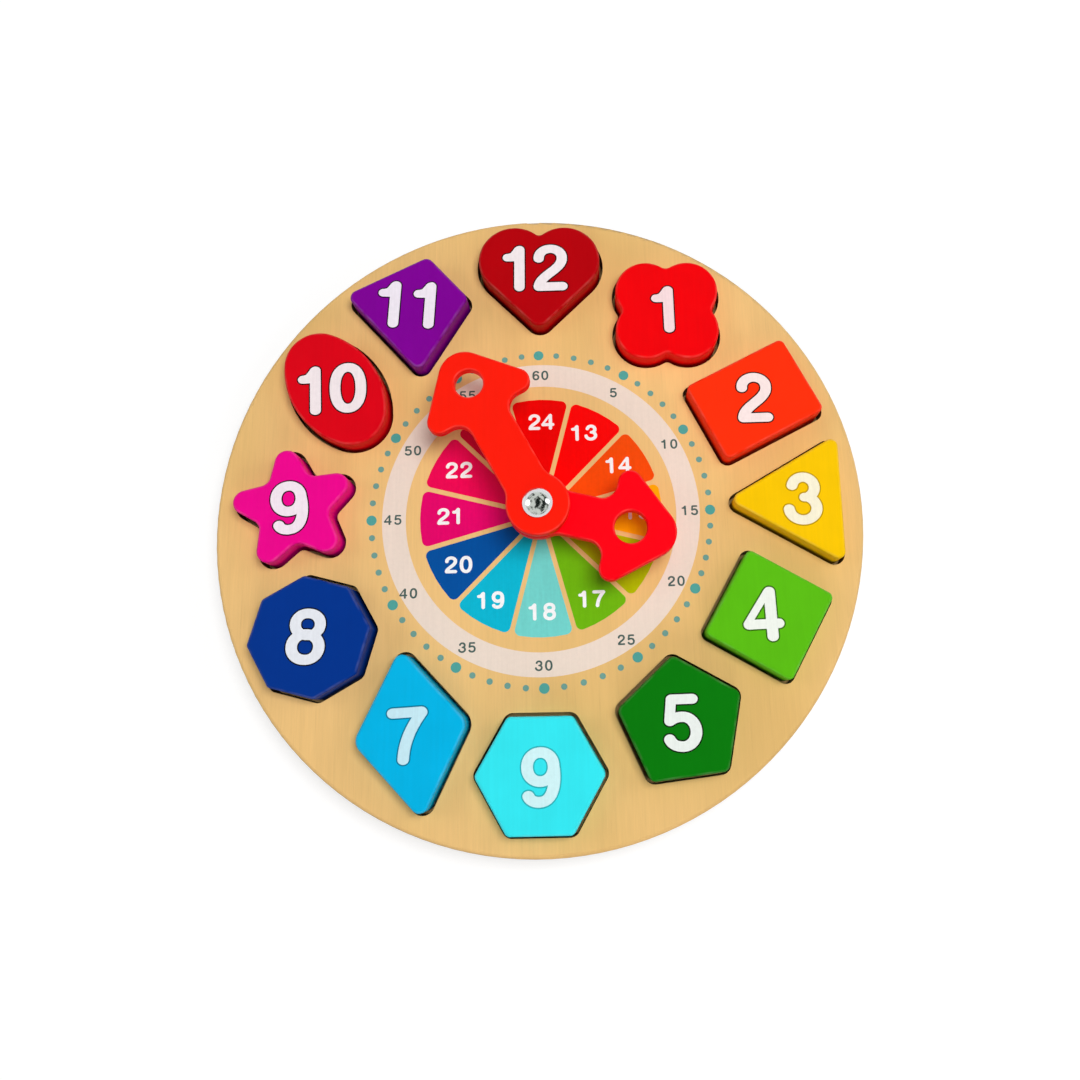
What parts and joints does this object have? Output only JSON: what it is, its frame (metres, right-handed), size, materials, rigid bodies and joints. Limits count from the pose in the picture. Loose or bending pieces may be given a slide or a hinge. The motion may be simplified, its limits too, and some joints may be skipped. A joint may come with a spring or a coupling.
{
  "type": "teaching clock",
  "caption": "Round wooden teaching clock and shape sorter: a flat dial board with pockets for lift-out number blocks, and hour and minute hands that turn on a central screw.",
  "frame": {"origin": "centre of the flat back face", "axes": "+Z out of the dial, +Y towards 12 o'clock, +X towards 3 o'clock; the clock lies on its back"},
  "size_m": [0.222, 0.222, 0.0365],
  "materials": {
    "face_wood": "pale clear-coated wood with printed dial",
    "back_wood": "plain sanded plywood",
    "paint_12": "satin painted wood",
    "paint_01": "satin painted wood",
    "paint_02": "satin painted wood",
    "paint_03": "satin painted wood",
    "paint_04": "satin painted wood",
    "paint_05": "satin painted wood",
    "paint_06": "satin painted wood",
    "paint_07": "satin painted wood",
    "paint_08": "satin painted wood",
    "paint_09": "satin painted wood",
    "paint_10": "satin painted wood",
    "paint_11": "satin painted wood",
    "hour_paint": "satin painted wood",
    "minute_paint": "satin painted wood",
    "collar_wood": "turned wood",
    "washer_nylon": "natural nylon",
    "screw_chrome": "polished chrome",
    "nut_steel": "zinc-plated steel"
  },
  "bodies": {
    "board": {"back_board": "back_wood", "face_board": "face_wood", "pivot_collar": "collar_wood", "lower_washer": "washer_nylon", "middle_washer": "washer_nylon", "pivot_screw": "screw_chrome", "pivot_nut": "nut_steel"},
    "hour_hand": {"hour_hand": "hour_paint"},
    "minute_hand": {"minute_hand": "minute_paint"},
    "block_12_heart": {"block_12_heart": "paint_12"},
    "block_01_clover": {"block_01_clover": "paint_01"},
    "block_02_oblong": {"block_02_oblong": "paint_02"},
    "block_03_triangle": {"block_03_triangle": "paint_03"},
    "block_04_square": {"block_04_square": "paint_04"},
    "block_05_pentagon": {"block_05_pentagon": "paint_05"},
    "block_06_hexagon": {"block_06_hexagon": "paint_06"},
    "block_07_rhombus": {"block_07_rhombus": "paint_07"},
    "block_08_octagon": {"block_08_octagon": "paint_08"},
    "block_09_star": {"block_09_star": "paint_09"},
    "block_10_oval": {"block_10_oval": "paint_10"},
    "block_11_trapezium": {"block_11_trapezium": "paint_11"}
  },
  "joints": [
    {"name": "hour_hand_turn", "type": "hinge", "parent": "board", "child": "hour_hand", "pos_m": [0, 0, 0.0235], "axis": [0, 0, -1], "continuous": true},
    {"name": "minute_hand_turn", "type": "hinge", "parent": "board", "child": "minute_hand", "pos_m": [0, 0, 0.029], "axis": [0, 0, -1], "continuous": true},
    {"name": "block_01_lift", "type": "slide", "parent": "board", "child": "block_01_clover", "axis": [0, 0, 1], "range_m": [0, 0.03]},
    {"name": "block_02_lift", "type": "slide", "parent": "board", "child": "block_02_oblong", "axis": [0, 0, 1], "range_m": [0, 0.03]},
    {"name": "block_03_lift", "type": "slide", "parent": "board", "child": "block_03_triangle", "axis": [0, 0, 1], "range_m": [0, 0.03]},
    {"name": "block_04_lift", "type": "slide", "parent": "board", "child": "block_04_square", "axis": [0, 0, 1], "range_m": [0, 0.03]},
    {"name": "block_05_lift", "type": "slide", "parent": "board", "child": "block_05_pentagon", "axis": [0, 0, 1], "range_m": [0, 0.03]},
    {"name": "block_06_lift", "type": "slide", "parent": "board", "child": "block_06_hexagon", "axis": [0, 0, 1], "range_m": [0, 0.03]},
    {"name": "block_07_lift", "type": "slide", "parent": "board", "child": "block_07_rhombus", "axis": [0, 0, 1], "range_m": [0, 0.03]},
    {"name": "block_08_lift", "type": "slide", "parent": "board", "child": "block_08_octagon", "axis": [0, 0, 1], "range_m": [0, 0.03]},
    {"name": "block_09_lift", "type": "slide", "parent": "board", "child": "block_09_star", "axis": [0, 0, 1], "range_m": [0, 0.03]},
    {"name": "block_10_lift", "type": "slide", "parent": "board", "child": "block_10_oval", "axis": [0, 0, 1], "range_m": [0, 0.03]},
    {"name": "block_11_lift", "type": "slide", "parent": "board", "child": "block_11_trapezium", "axis": [0, 0, 1], "range_m": [0, 0.03]},
    {"name": "block_12_lift", "type": "slide", "parent": "board", "child": "block_12_heart", "axis": [0, 0, 1], "range_m": [0, 0.03]}
  ]
}
